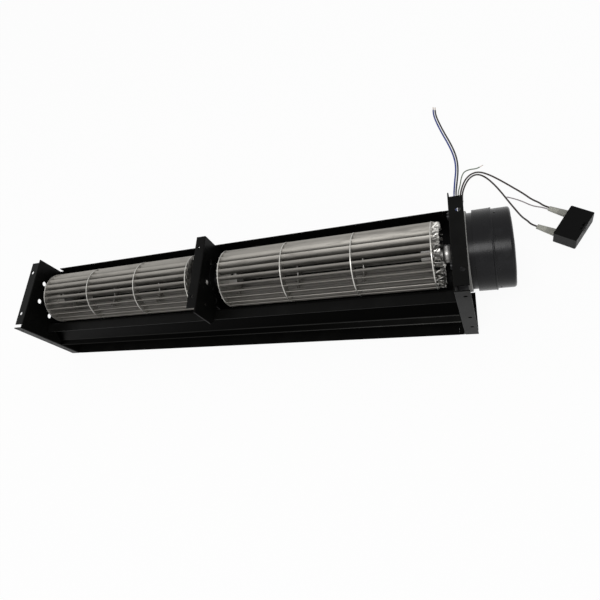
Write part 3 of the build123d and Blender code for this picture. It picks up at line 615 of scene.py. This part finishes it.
def staking_marks(material):
    """Pattern: small punched lugs round the motor's joint."""
    tree = Pattern("Punched lugs", {
        "Count": 8, "Joint X": 0.0, "Circle Radius": 0.037, "Lug Length": 0.0032, "Lug Width": 0.0018,
    })
    size = tree.into
    index = tree.node("GeometryNodeInputIndex")["Index"]
    angle = index * (2 * math.pi / size["Count"]) + 0.2
    cosine = tree.node("ShaderNodeMath", {"operation": "COSINE"}, {0: angle})[0]
    reach = size["Circle Radius"]
    at = tree.vector(size["Joint X"], SHAFT_Y + reach * cosine, SHAFT_Z + reach * angle.sin())
    points = tree.node("GeometryNodePoints", {}, {"Count": size["Count"], "Position": at})[0]
    ball = tree.node(
        "GeometryNodeMeshUVSphere", {}, {"Segments": 12, "Rings": 8, "Radius": 1.0}
    )["Mesh"]
    flat = tree.vector(size["Lug Width"] / 2, 0.0004, size["Lug Length"] / 2)
    turned = tree.node(
        "FunctionNodeEulerToRotation", {}, {"Euler": tree.vector(angle, 0.0, 0.0)}
    )["Rotation"]
    copies = tree.node("GeometryNodeInstanceOnPoints", {}, {
        "Points": points, "Instance": ball, "Rotation": turned, "Scale": flat,
    })["Instances"]
    tree.end(copies, material)
    return tree


def wire_strands(material):
    """Pattern: a bundle of bare strands with a slight twist, along Z from zero."""
    tree = Pattern("Bare strands", {
        "Count": 7, "Strand Radius": 0.0002, "Bundle Radius": 0.0004, "Bare Length": 0.004,
        "Twist": 260.0,
    })
    size = tree.into
    index = tree.node("GeometryNodeInputIndex")["Index"]
    outer = index > 0.5
    angle = index * (2 * math.pi / 6)
    cosine = tree.node("ShaderNodeMath", {"operation": "COSINE"}, {0: angle})[0]
    reach = size["Bundle Radius"] * outer
    at = tree.vector(reach * cosine, reach * angle.sin(), size["Bare Length"] / 2)
    points = tree.node("GeometryNodePoints", {}, {"Count": size["Count"], "Position": at})[0]
    rod = tree.node("GeometryNodeMeshCylinder", {}, {
        "Vertices": 8, "Side Segments": 6, "Radius": size["Strand Radius"],
        "Depth": size["Bare Length"],
    })["Mesh"]
    copies = tree.node(
        "GeometryNodeInstanceOnPoints", {}, {"Points": points, "Instance": rod}
    )["Instances"]
    real = tree.node("GeometryNodeRealizeInstances", {}, {"Geometry": copies})["Geometry"]
    here = tree.node("GeometryNodeInputPosition")["Position"]
    up = tree.node("ShaderNodeSeparateXYZ", {}, {0: here})["Z"]
    twisted = tree.node("ShaderNodeVectorRotate", {"rotation_type": "Z_AXIS"}, {
        "Vector": here, "Angle": up * size["Twist"],
    })["Vector"]
    moved = tree.node("GeometryNodeSetPosition", {}, {"Geometry": real, "Position": twisted})[0]
    tree.end(moved, material)
    return tree


def scroll_line(x, inset, steps=24):
    """Line that follows the scroll's section at one X, inset from its outside."""
    low, high = SCROLL_BOX
    depth, flat = high[1] - low[1], 0.046
    lower_r, turn = 0.048, math.radians(60)
    points = [(0.010, inset), (flat, inset)]
    for n in range(1, steps // 2):
        a = turn * n / (steps // 2)
        reach = lower_r - inset
        points.append((flat + reach * math.sin(a), lower_r - reach * math.cos(a)))
    bend_y = flat + lower_r * math.sin(turn)
    bend_z = lower_r * (1 - math.cos(turn))
    upper_r = (depth - bend_y) / (1 - math.sin(turn))
    middle = (depth - upper_r, bend_z + upper_r * math.cos(turn))
    for n in range(steps // 2 + 1):
        a = turn + (math.pi / 2 - turn) * n / (steps // 2)
        reach = upper_r - inset
        points.append((middle[0] + reach * math.sin(a), middle[1] - reach * math.cos(a)))
    line = bpy.data.meshes.new("seam_line")
    line.from_pydata(
        [(x, low[1] + y, z) for y, z in points], [(n, n + 1) for n in range(len(points) - 1)], []
    )
    return line


# ------------------------------------------------------------------ routes of the loose leads
LEAD_ROUTES = {
    "blue_lead": [
        (0.2476, 0.0492, 0.0712), (0.2476, 0.0612, 0.0712), (0.2461, 0.0750, 0.0600),
        (0.2446, 0.0890, 0.0410), (0.2436, 0.1020, 0.0220), (0.2429, 0.1130, 0.0070),
        (0.2431, 0.1240, 0.0009), (0.2447, 0.1380, 0.0009), (0.2469, 0.1530, 0.0009),
        (0.2463, 0.1690, 0.0009), (0.2417, 0.1880, 0.0009), (0.2342, 0.2100, 0.0009),
        (0.2286, 0.2290, 0.0009), (0.2259, 0.2420, 0.0009), (0.2261, 0.2488, 0.0009),
    ],
    "black_lead": [
        (0.2498, 0.0492, 0.0719), (0.2498, 0.0612, 0.0719), (0.2487, 0.0750, 0.0606),
        (0.2473, 0.0890, 0.0416), (0.2460, 0.1020, 0.0224), (0.2451, 0.1130, 0.0074),
        (0.2454, 0.1250, 0.0009), (0.2475, 0.1390, 0.0009), (0.2492, 0.1530, 0.0009),
        (0.2487, 0.1694, 0.0009), (0.2441, 0.1890, 0.0009), (0.2365, 0.2110, 0.0009),
        (0.2309, 0.2300, 0.0009), (0.2283, 0.2420, 0.0009), (0.2284, 0.2478, 0.0009),
    ],
    "earth_lead": [
        (0.2522, 0.0492, 0.0719), (0.2522, 0.0612, 0.0719), (0.2510, 0.0750, 0.0602),
        (0.2495, 0.0890, 0.0410), (0.2480, 0.1020, 0.0216), (0.2471, 0.1120, 0.0070),
        (0.2475, 0.1220, 0.0006), (0.2500, 0.1310, 0.0006), (0.2517, 0.1404, 0.0006),
        (0.2550, 0.1480, 0.0006), (0.2619, 0.1496, 0.0006), (0.2683, 0.1488, 0.0006),
        (0.2716, 0.1504, 0.0006),
    ],
    "upper_capacitor_lead": [
        (0.2506, 0.0492, 0.0684), (0.2506, 0.0592, 0.0684), (0.2507, 0.0726, 0.0540),
        (0.2504, 0.0850, 0.0360), (0.2497, 0.0970, 0.0180), (0.2491, 0.1080, 0.0055),
        (0.2494, 0.1190, 0.0009), (0.2527, 0.1304, 0.0009), (0.2571, 0.1386, 0.0009),
        (0.2635, 0.1436, 0.0009), (0.2709, 0.1438, 0.0009), (0.2797, 0.1382, 0.0009),
        (0.2899, 0.1286, 0.0009), (0.3009, 0.1168, 0.0009), (0.3109, 0.1060, 0.0009),
        (0.3177, 0.0962, 0.0022), (0.3237, 0.0890, 0.0056), (0.3267, 0.0830, 0.0082),
        (0.3317, 0.0797, 0.0082),
    ],
    "lower_capacitor_lead": [
        (0.2530, 0.0492, 0.0686), (0.2530, 0.0592, 0.0686), (0.2530, 0.0726, 0.0540),
        (0.2526, 0.0850, 0.0360), (0.2518, 0.0970, 0.0180), (0.2512, 0.1080, 0.0055),
        (0.2515, 0.1190, 0.0009), (0.2549, 0.1290, 0.0009), (0.2591, 0.1364, 0.0009),
        (0.2645, 0.1406, 0.0009), (0.2703, 0.1404, 0.0009), (0.2769, 0.1348, 0.0009),
        (0.2839, 0.1244, 0.0009), (0.2905, 0.1116, 0.0009), (0.2967, 0.0978, 0.0009),
        (0.3029, 0.0848, 0.0009), (0.3070, 0.0756, 0.0028), (0.3109, 0.0688, 0.0064),
        (0.3135, 0.0629, 0.0082), (0.3185, 0.0596, 0.0082),
    ],
    "pale_lead": [
        (0.3305, 0.0779, 0.0082), (0.3255, 0.0812, 0.0082), (0.3217, 0.0840, 0.0058),
        (0.3163, 0.0892, 0.0020), (0.3099, 0.0958, 0.0006), (0.3023, 0.1012, 0.0006),
        (0.2949, 0.1050, 0.0006),
    ],
}


def soft_lead(name, points, diameter, material):
    """Round insulated lead on one smooth spline."""
    curve = bpy.data.curves.new(name, "CURVE")
    curve.dimensions = "3D"
    spline = curve.splines.new("NURBS")
    spline.points.add(len(points) - 1)
    for knot, place in zip(spline.points, points):
        knot.co = (*place, 1.0)
    spline.order_u = 3
    spline.use_endpoint_u = True
    spline.resolution_u = 8
    curve.bevel_depth = diameter / 2
    curve.bevel_resolution = 3
    curve.use_fill_caps = True
    curve.materials.append(material)
    piece = bpy.data.objects.new(name + "_wire", curve)
    bpy.context.scene.collection.objects.link(piece)
    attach(piece, "housing")
    return piece


# ------------------------------------------------------------------ settings a user may change
def paint(label, text, colour):
    return FloatVectorProperty(
        name=label, description=text, subtype="COLOR", size=3, min=0.0, max=1.0, default=colour
    )


def span(label, text, size):
    return FloatProperty(
        name=label, description=text, subtype="DISTANCE", unit="LENGTH", min=0.0, default=size
    )


class FanDuctSettings(bpy.types.PropertyGroup):
    sheet_colour: paint("Sheet paint", "Powder coat of the sheet parts", (0.0028, 0.0028, 0.0026))
    sheet_gloss: FloatProperty(
        name="Sheet gloss", description="Specular level of the powder coat",
        subtype="FACTOR", min=0.0, max=1.0, default=0.055,
    )
    weld_count: IntProperty(
        name="Weld marks", description="Weld marks along each end plate", min=2, max=40, default=10
    )
    weld_radius: span("Weld radius", "Radius of one weld mark", 0.0021)


class FanWheelSettings(bpy.types.PropertyGroup):
    blade_colour: paint("Blade metal", "Rolled aluminium of the blades", (0.235, 0.224, 0.205))
    disc_colour: paint("Disc metal", "Punched aluminium of discs and rings", (0.44, 0.43, 0.405))
    tab_length: span("Folded end", "Length of a blade end folded over its disc", 0.0056)
    tab_fold: span("Fold width", "How far a blade end is folded over", 0.0022)
    crimp_reach: span("Crimped reach", "How far the crimped blade ends stand out at the motor", 0.0056)


class FanMotorSettings(bpy.types.PropertyGroup):
    enamel_colour: paint("Motor enamel", "Enamel on the drawn shells", (0.0040, 0.0040, 0.0048))
    # Painted highlight: width of the grey band that stands in for the lit edge of the ring.
    highlight_rim: span("Highlight rim", "Width of the painted highlight band at the motor end of the ring", 0.0034)
    lug_count: IntProperty(
        name="Punched lugs", description="Lugs round the joint of the shells", min=3, max=24, default=8
    )


class FanLeadSettings(bpy.types.PropertyGroup):
    lead_diameter: span("Lead diameter", "Outside of the thick leads", 0.0018)
    thin_diameter: span("Thin lead diameter", "Outside of the thin leads", 0.0013)
    bare_end: span("Bare end", "Stripped length at a free end", 0.0042)
    blue: paint("Blue lead", "Insulation of the blue lead", (0.012, 0.035, 0.20))
    brown: paint("Brown lead", "Insulation of the capacitor's leads", (0.022, 0.013, 0.010))
    earth: paint("Earth lead", "Insulation of the thin earth lead", (0.11, 0.15, 0.10))


class FanStageSettings(bpy.types.PropertyGroup):
    lens: FloatProperty(
        name="Lens", description="Focal length of the camera", subtype="DISTANCE_CAMERA",
        min=10.0, max=200.0, default=30.666,
    )
    ambient: FloatProperty(
        name="Ambient light", description="Strength of the even light from all round",
        subtype="FACTOR", min=0.0, max=1.0, default=0.56,
    )
    key_power: FloatProperty(
        name="Key light", description="Power of the large soft lamp", subtype="POWER",
        min=0.0, default=9.0,
    )


SETTINGS = {
    "fan_duct": FanDuctSettings, "fan_wheels": FanWheelSettings, "fan_motor": FanMotorSettings,
    "fan_leads": FanLeadSettings, "fan_stage": FanStageSettings,
}
FINISHES = {}


def finish_of(key, make):
    """One shared material for each finish."""
    if key not in FINISHES:
        FINISHES[key] = make()
    return FINISHES[key]


def steel():
    return finish_of("steel", lambda: turned_steel("Turned steel", (0.56, 0.55, 0.53)))


def blackened():
    return turned_steel("Blackened steel", (0.020, 0.020, 0.021))


def rubber():
    return finish_of("rubber", lambda: moulded_rubber("Black rubber", (0.012, 0.012, 0.012)))


# ------------------------------------------------------------------ operators
class FAN_OT_duct(bpy.types.Operator):
    """Paint the folded sheet and press the weld marks along both end plates"""

    bl_idname = "fan.duct"
    bl_label = "Duct"

    def execute(self, context):
        chosen = context.scene.fan_duct
        sheet = black_sheet("Black powder coat", tuple(chosen.sheet_colour), chosen.sheet_gloss)
        for node in ("left_end_plate", "right_end_plate", "middle_bracket", "scroll_housing"):
            wear(node, sheet)
        lip_y, shelf_z = TONGUE_BOX[0][1], TONGUE_BOX[1][2]
        # The tongue gets painted highlights along its lip and knee folds, and painted shade below its
        # shelf.
        wear("tongue_plate", black_sheet(
            "Powder coat with painted fold highlights", tuple(chosen.sheet_colour), chosen.sheet_gloss,
            highlit_folds=(lip_y + 0.0002, lip_y + 0.0064), shade_below=shelf_z - 0.0016,
        ))
        marks = seam_marks(sheet)
        outer_left = SCROLL_BOX[0][0] - 0.0012
        outer_right = SCROLL_BOX[1][0] + 0.0012
        for side, x in (("left", outer_left), ("right", outer_right)):
            mesh = marks.mesh(
                f"{side}_weld_marks", scroll_line(x, 0.0052),
                Count=chosen.weld_count, Mark_Radius=chosen.weld_radius,
            )
            finished_piece(f"{side}_weld_marks", mesh, "housing", sheet, False)
        low, high = SCROLL_BOX
        gap = 0.00006
        for side, start, stop in (("left", low[0], low[0] + 0.0046), ("right", high[0] - 0.0046, high[0])):
            tab = sheet_tab(
                f"{side}_mouth_tab", (start + gap, low[1] + gap, low[2] + gap),
                (stop - gap, low[1] + 0.008 - gap, low[2] + 0.001 - gap),
            )
            finished_piece(f"{side}_mouth_tab", tab, "housing", sheet, False)
        tab = sheet_tab(
            "right_lip_tab", (high[0] - 0.0075 + gap, high[1] - 0.001 + gap, high[2] - 0.009 + gap),
            (high[0] - gap, high[1] - gap, high[2] - gap),
        )
        finished_piece("right_lip_tab", tab, "housing", sheet, False)
        return {"FINISHED"}


class FAN_OT_bearings(bpy.types.Operator):
    """Finish the bearing holders, rubber seats, bronze bushes and rivets"""

    bl_idname = "fan.bearings"
    bl_label = "Bearings"

    def execute(self, context):
        for side in ("left", "middle"):
            wear(f"{side}_bearing_holder", finish_of("black_steel", blackened))
            wear(f"{side}_bearing_seat", rubber())
            wear(f"{side}_bearing_bush", finish_of("bronze", lambda: sintered_bronze("Sintered bronze")))
        wear("holder_rivets", finish_of("black_steel", blackened))
        return {"FINISHED"}


class FAN_OT_wheels(bpy.types.Operator):
    """Finish both blade wheels and fold the blade ends over the end discs"""

    bl_idname = "fan.wheels"
    bl_label = "Blade wheels"

    def execute(self, context):
        chosen = context.scene.fan_wheels
        blade = rolled_aluminium("Blade aluminium", tuple(chosen.blade_colour), 0.36, blades=24)
        disc = rolled_aluminium("Disc aluminium", tuple(chosen.disc_colour), 0.28)
        ends = riveted_ends(disc)
        for number, wheel in enumerate(WHEELS):
            wear(f"{wheel}_wheel_blades", blade)
            for part in ("ring_1", "ring_2", "left_disc", "right_disc"):
                wear(f"{wheel}_wheel_{part}", disc)
            for side, step in (("left", -1), ("right", 1)):
                low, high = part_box(f"{wheel}_wheel_{side}_disc")
                face = (low[0] if step < 0 else high[0]) + step * 0.0007
                name = f"{wheel}_wheel_{side}_folded_ends"
                mesh = ends.mesh(
                    name, Face_X=face, Circle_Radius=0.0290, Start_Angle=-0.0445 + 0.06 * step,
                    Tab_Length=chosen.tab_length, Tab_Fold=chosen.tab_fold,
                    Seed=11 * number + 3 + step,
                )
                finished_piece(name, mesh, "rotor", disc, False)
        low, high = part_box("right_wheel_right_disc")
        bright = tuple(c * 0.9 for c in chosen.disc_colour)
        crimp = rolled_aluminium("Crimped aluminium", bright, 0.24)
        reach = chosen.crimp_reach
        rings = ((0.0292, 0.56, 0.0062), (0.0262, 1.2, 0.0050))
        for row, (radius, lean, width) in enumerate(rings):
            name = f"motor_side_crimped_ends_{row + 1}"
            mesh = riveted_ends(crimp).mesh(
                name, Face_X=high[0] + reach / 2 + 0.0008, Circle_Radius=radius, Lean=lean,
                Start_Angle=-0.0445 + 0.1 * row, Tab_Thickness=reach, Tab_Length=width,
                Tab_Fold=0.0005, Crumple=0.0022, Seed=31 + row,
            )
            finished_piece(name, mesh, "rotor", crimp, False)
        collar_end = RING_BOX[0][0] - 0.0036
        shaft_r = 0.00403
        collar = lathed("motor_shaft_collar", [
            (collar_end - 0.0072, shaft_r), (collar_end - 0.0072, 0.0072), (collar_end - 0.0064, 0.0086),
            (collar_end - 0.0052, 0.0090), (collar_end - 0.0008, 0.0090), (collar_end - 0.0002, 0.0084),
            (collar_end, 0.0076), (collar_end, shaft_r),
        ])
        finished_piece("motor_shaft_collar", collar, "rotor", steel())
        for node in ("left_wheel_left_hub", "left_wheel_right_hub", "right_wheel_left_hub",
                     "left_stub_shaft", "middle_shaft", "coupling_sleeve", "motor_shaft"):
            wear(node, steel())
        wear("hub_set_screws", finish_of("black_steel", blackened))
        wear("rubber_coupling", rubber())
        return {"FINISHED"}


class FAN_OT_motor(bpy.types.Operator):
    """Finish the motor and its mounting ring, roll the rim and press the end boss"""

    bl_idname = "fan.motor"
    bl_label = "Motor"

    def execute(self, context):
        chosen = context.scene.fan_motor
        enamel = motor_enamel("Black enamel", tuple(chosen.enamel_colour), 0.14)
        for node in ("motor_shell", "motor_cap"):
            wear(node, enamel)
        ring_x = RING_BOX[1][0]
        # The ring's grey band at the motor end is a painted highlight.
        wear("motor_mounting_ring", ring_casting("Ring casting", ring_x - chosen.highlight_rim, ring_x + 0.001))
        wear("cable_gland", rubber())
        wear("stator_stack", finish_of("laminations", lambda: laminations("Stacked laminations")))
        wear("rotor_core", finish_of("laminations", lambda: laminations("Stacked laminations")))
        wear("stator_windings", enamelled_copper("Wound copper"))
        for node in ("front_motor_bearing", "rear_motor_bearing"):
            wear(node, steel())
        wear("motor_screws", finish_of("black_steel", blackened))
        joint = SHELL_BOX[1][0]
        radius = (SHELL_BOX[1][1] - SHELL_BOX[0][1]) / 2
        rim = lathed("motor_rolled_rim", [
            (joint - 0.0016, radius - 0.0002), (joint - 0.0013, radius + 0.00018),
            (joint - 0.0006, radius + 0.0003), (joint + 0.0001, radius + 0.00012),
            (joint + 0.0002, radius - 0.0009), (joint - 0.0009, radius - 0.0009),
        ])
        finished_piece("motor_rolled_rim", rim, "housing", enamel)
        end = CAP_END_BOX[1][0]
        boss = lathed("motor_end_boss", [
            (end - 0.0004, 0.0), (end - 0.0004, 0.0142), (end + 0.0002, 0.0138),
            (end + 0.0010, 0.0128), (end + 0.0013, 0.0118), (end + 0.0013, 0.0052),
            (end + 0.0007, 0.0044), (end + 0.0007, 0.0),
        ])
        finished_piece("motor_end_boss", boss, "housing", enamel)
        bead = lathed("motor_end_bead", [
            (end - 0.0004, 0.0292), (end + 0.0002, 0.0286), (end + 0.0006, 0.0276),
            (end + 0.0006, 0.0266), (end + 0.0002, 0.0256), (end - 0.0004, 0.0250),
        ])
        finished_piece("motor_end_bead", bead, "housing", enamel)
        cap_radius = (CAP_END_BOX[1][1] - CAP_END_BOX[0][1]) / 2
        mesh = staking_marks(enamel).mesh(
            "motor_punched_lugs", Count=chosen.lug_count, Joint_X=joint + 0.0026,
            Circle_Radius=cap_radius,
        )
        finished_piece("motor_punched_lugs", mesh, "housing", enamel)
        return {"FINISHED"}


class FAN_OT_capacitor(bpy.types.Operator):
    """Finish the run capacitor, its terminals and their sleeves"""

    bl_idname = "fan.capacitor"
    bl_label = "Capacitor"

    def execute(self, context):
        wear("capacitor_case", potted_plastic("Potted plastic", (0.0026, 0.0026, 0.0026)))
        wear("capacitor_terminals", turned_steel("Tinned brass", (0.58, 0.52, 0.38)))
        sleeve = cloudy_sleeve("Cloudy sleeve", (0.50, 0.50, 0.44))
        for node in ("lower_terminal_sleeve", "upper_terminal_sleeve"):
            wear(node, sleeve)
        return {"FINISHED"}


class FAN_OT_leads(bpy.types.Operator):
    """Lay the six loose leads and strip the free ends"""

    bl_idname = "fan.leads"
    bl_label = "Leads"

    def execute(self, context):
        chosen = context.scene.fan_leads
        thick, thin = chosen.lead_diameter, chosen.thin_diameter
        brown = tuple(chosen.brown)
        dark = tuple(c * 0.6 for c in brown)
        blue = wire_pvc("Blue insulation", tuple(chosen.blue))
        black = wire_pvc("Black insulation", (0.008, 0.008, 0.009))
        earth = wire_pvc("Earth insulation", tuple(chosen.earth))
        upper = wire_pvc("Brown insulation", brown)
        lower = wire_pvc("Dark insulation", dark)
        pale = wire_pvc("Pale insulation", (0.30, 0.27, 0.28), 1.2)
        rows = (
            ("blue_lead", thick, blue, 0.235, "bare", "blue_pvc"),
            ("black_lead", thick, black, 0.234, "bare", "black_pvc"),
            ("earth_lead", thin, earth, 0.149, "bare", "green_pvc"),
            ("upper_capacitor_lead", thick, upper, 0.227, "object", "brown_pvc"),
            ("lower_capacitor_lead", thick, lower, 0.228, "object", "black_pvc"),
            ("pale_lead", thin, pale, 0.046, "bare", "pale_pvc"),
        )
        tin = tinned_wire("Tinned strands")
        strands = wire_strands(tin)
        for node, diameter, material, length, far_end, slot in rows:
            route = LEAD_ROUTES[node]
            lead = soft_lead(node, route, diameter, material)
            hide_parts(node)
            if far_end == "bare" and node != "pale_lead":
                last, before = Vector(route[-1]), Vector(route[-2])
                ahead = (last - before).normalized()
                mesh = strands.mesh(
                    f"{node}_bare_end", Strand_Radius=diameter * 0.115,
                    Bundle_Radius=diameter * 0.22, Bare_Length=chosen.bare_end + 0.0004,
                )
                turn = ahead.to_track_quat("Z", "Y").to_matrix().to_4x4()
                turn.translation = last - ahead * 0.0004
                mesh.transform(turn)
                finished_piece(f"{node}_bare_end", mesh, "housing", tin)
        return {"FINISHED"}


class FAN_OT_stage(bpy.types.Operator):
    """Lay the pale floor, hang the soft lamps and place the camera"""

    bl_idname = "fan.stage"
    bl_label = "Stage"

    def execute(self, context):
        scene = context.scene
        chosen = scene.fan_stage
        scene.view_settings.view_transform = "Standard"
        self.floor()
        self.surround(scene, chosen.ambient)
        self.lamp("Key lamp", chosen.key_power, 0.55, (0.10, -0.55, 1.55))
        self.lamp("Side lamp", chosen.key_power * 0.35, 1.4, (-1.7, 0.5, 1.1))
        self.lamp("Front lamp", chosen.key_power * 0.30, 1.2, (0.9, -1.8, 0.5))
        data = bpy.data.cameras.new("Camera")
        data.sensor_width = 36.0
        data.lens = chosen.lens
        data.shift_x = 0.1083
        data.shift_y = -0.0183
        camera = bpy.data.objects.new("Camera", data)
        camera.location = (0.2736, -0.2362, 0.5401)
        camera.rotation_euler = Euler([math.radians(a) for a in (26.255, 26.587, 6.703)])
        scene.collection.objects.link(camera)
        scene.camera = camera
        return {"FINISHED"}

    @staticmethod
    def floor():
        mesh = bpy.data.meshes.new("floor")
        reach, under = 6.0, -0.0002
        corners = [(-reach, -reach), (reach, -reach), (reach, reach), (-reach, reach)]
        mesh.from_pydata([(x, y, under) for x, y in corners], [], [(0, 1, 2, 3)])
        floor = bpy.data.objects.new("floor", mesh)
        bpy.context.scene.collection.objects.link(floor)
        material = bpy.data.materials.new("Pale floor")
        material.use_nodes = True
        tree = Tree(material.node_tree)
        tree.tree.nodes.clear()
        path = tree.node("ShaderNodeLightPath")
        seen = (path["Is Camera Ray"] + path["Is Glossy Ray"] + path["Is Transmission Ray"]).clamp()
        paper = tree.node("ShaderNodeBsdfDiffuse", {}, {"Color": (0.86, 0.86, 0.86, 1.0)})
        glow = tree.node(
            "ShaderNodeEmission", {}, {"Color": (1.0, 1.0, 1.0, 1.0), "Strength": 1.0}
        )
        mixed = tree.node(
            "ShaderNodeMixShader", {}, {0: seen * 0.93, 1: paper["BSDF"], 2: glow["Emission"]}
        )
        tree.node("ShaderNodeOutputMaterial", {}, {"Surface": mixed["Shader"]})
        mesh.materials.append(material)

    @staticmethod
    def surround(scene, ambient):
        world = bpy.data.worlds.new("Studio")
        world.use_nodes = True
        tree = Tree(world.node_tree)
        tree.tree.nodes.clear()
        path = tree.node("ShaderNodeLightPath")
        seen = (path["Is Camera Ray"] + path["Is Glossy Ray"] + path["Is Transmission Ray"]).clamp()
        white = (1.0, 1.0, 1.0, 1.0)
        soft = tree.node("ShaderNodeBackground", {}, {"Color": white, "Strength": ambient})
        full = tree.node("ShaderNodeBackground", {}, {"Color": white, "Strength": 1.0})
        mixed = tree.node("ShaderNodeMixShader", {}, {
            0: seen, 1: soft["Background"], 2: full["Background"],
        })
        tree.node("ShaderNodeOutputWorld", {}, {"Surface": mixed["Shader"]})
        scene.world = world

    @staticmethod
    def lamp(name, power, size, place):
        data = bpy.data.lights.new(name, "AREA")
        data.energy = power
        data.size = size
        lamp = bpy.data.objects.new(name, data)
        lamp.location = place
        aim = Vector((0.0, 0.0, 0.05)) - Vector(place)
        lamp.rotation_euler = aim.to_track_quat("-Z", "Y").to_euler()
        bpy.context.scene.collection.objects.link(lamp)


class FAN_PT_panel(bpy.types.Panel):
    """Sizes, colours and making of the cross flow fan"""

    bl_idname = "FAN_PT_panel"
    bl_label = "Cross flow fan"
    bl_space_type = "VIEW_3D"
    bl_region_type = "UI"
    bl_category = "Fan"

    def draw(self, context):
        for operator in OPERATORS:
            self.layout.operator(operator.bl_idname)
        for key in SETTINGS:
            box = self.layout.box()
            group = getattr(context.scene, key)
            for name in group.__annotations__:
                box.prop(group, name)


OPERATORS = (
    FAN_OT_stage, FAN_OT_leads, FAN_OT_duct, FAN_OT_bearings, FAN_OT_wheels, FAN_OT_motor,
    FAN_OT_capacitor,
)
CLASSES = (*SETTINGS.values(), *OPERATORS, FAN_PT_panel)


def register():
    for item in CLASSES:
        bpy.utils.register_class(item)
    for key, group in SETTINGS.items():
        setattr(bpy.types.Scene, key, PointerProperty(type=group))


def unregister():
    for key in SETTINGS:
        delattr(bpy.types.Scene, key)
    for item in reversed(CLASSES):
        bpy.utils.unregister_class(item)


def main():
    register()
    bpy.ops.fan.stage()
    bpy.ops.fan.leads()
    bpy.ops.fan.duct()
    bpy.ops.fan.bearings()
    bpy.ops.fan.wheels()
    bpy.ops.fan.motor()
    bpy.ops.fan.capacitor()


if __name__ == "__main__":
    main()
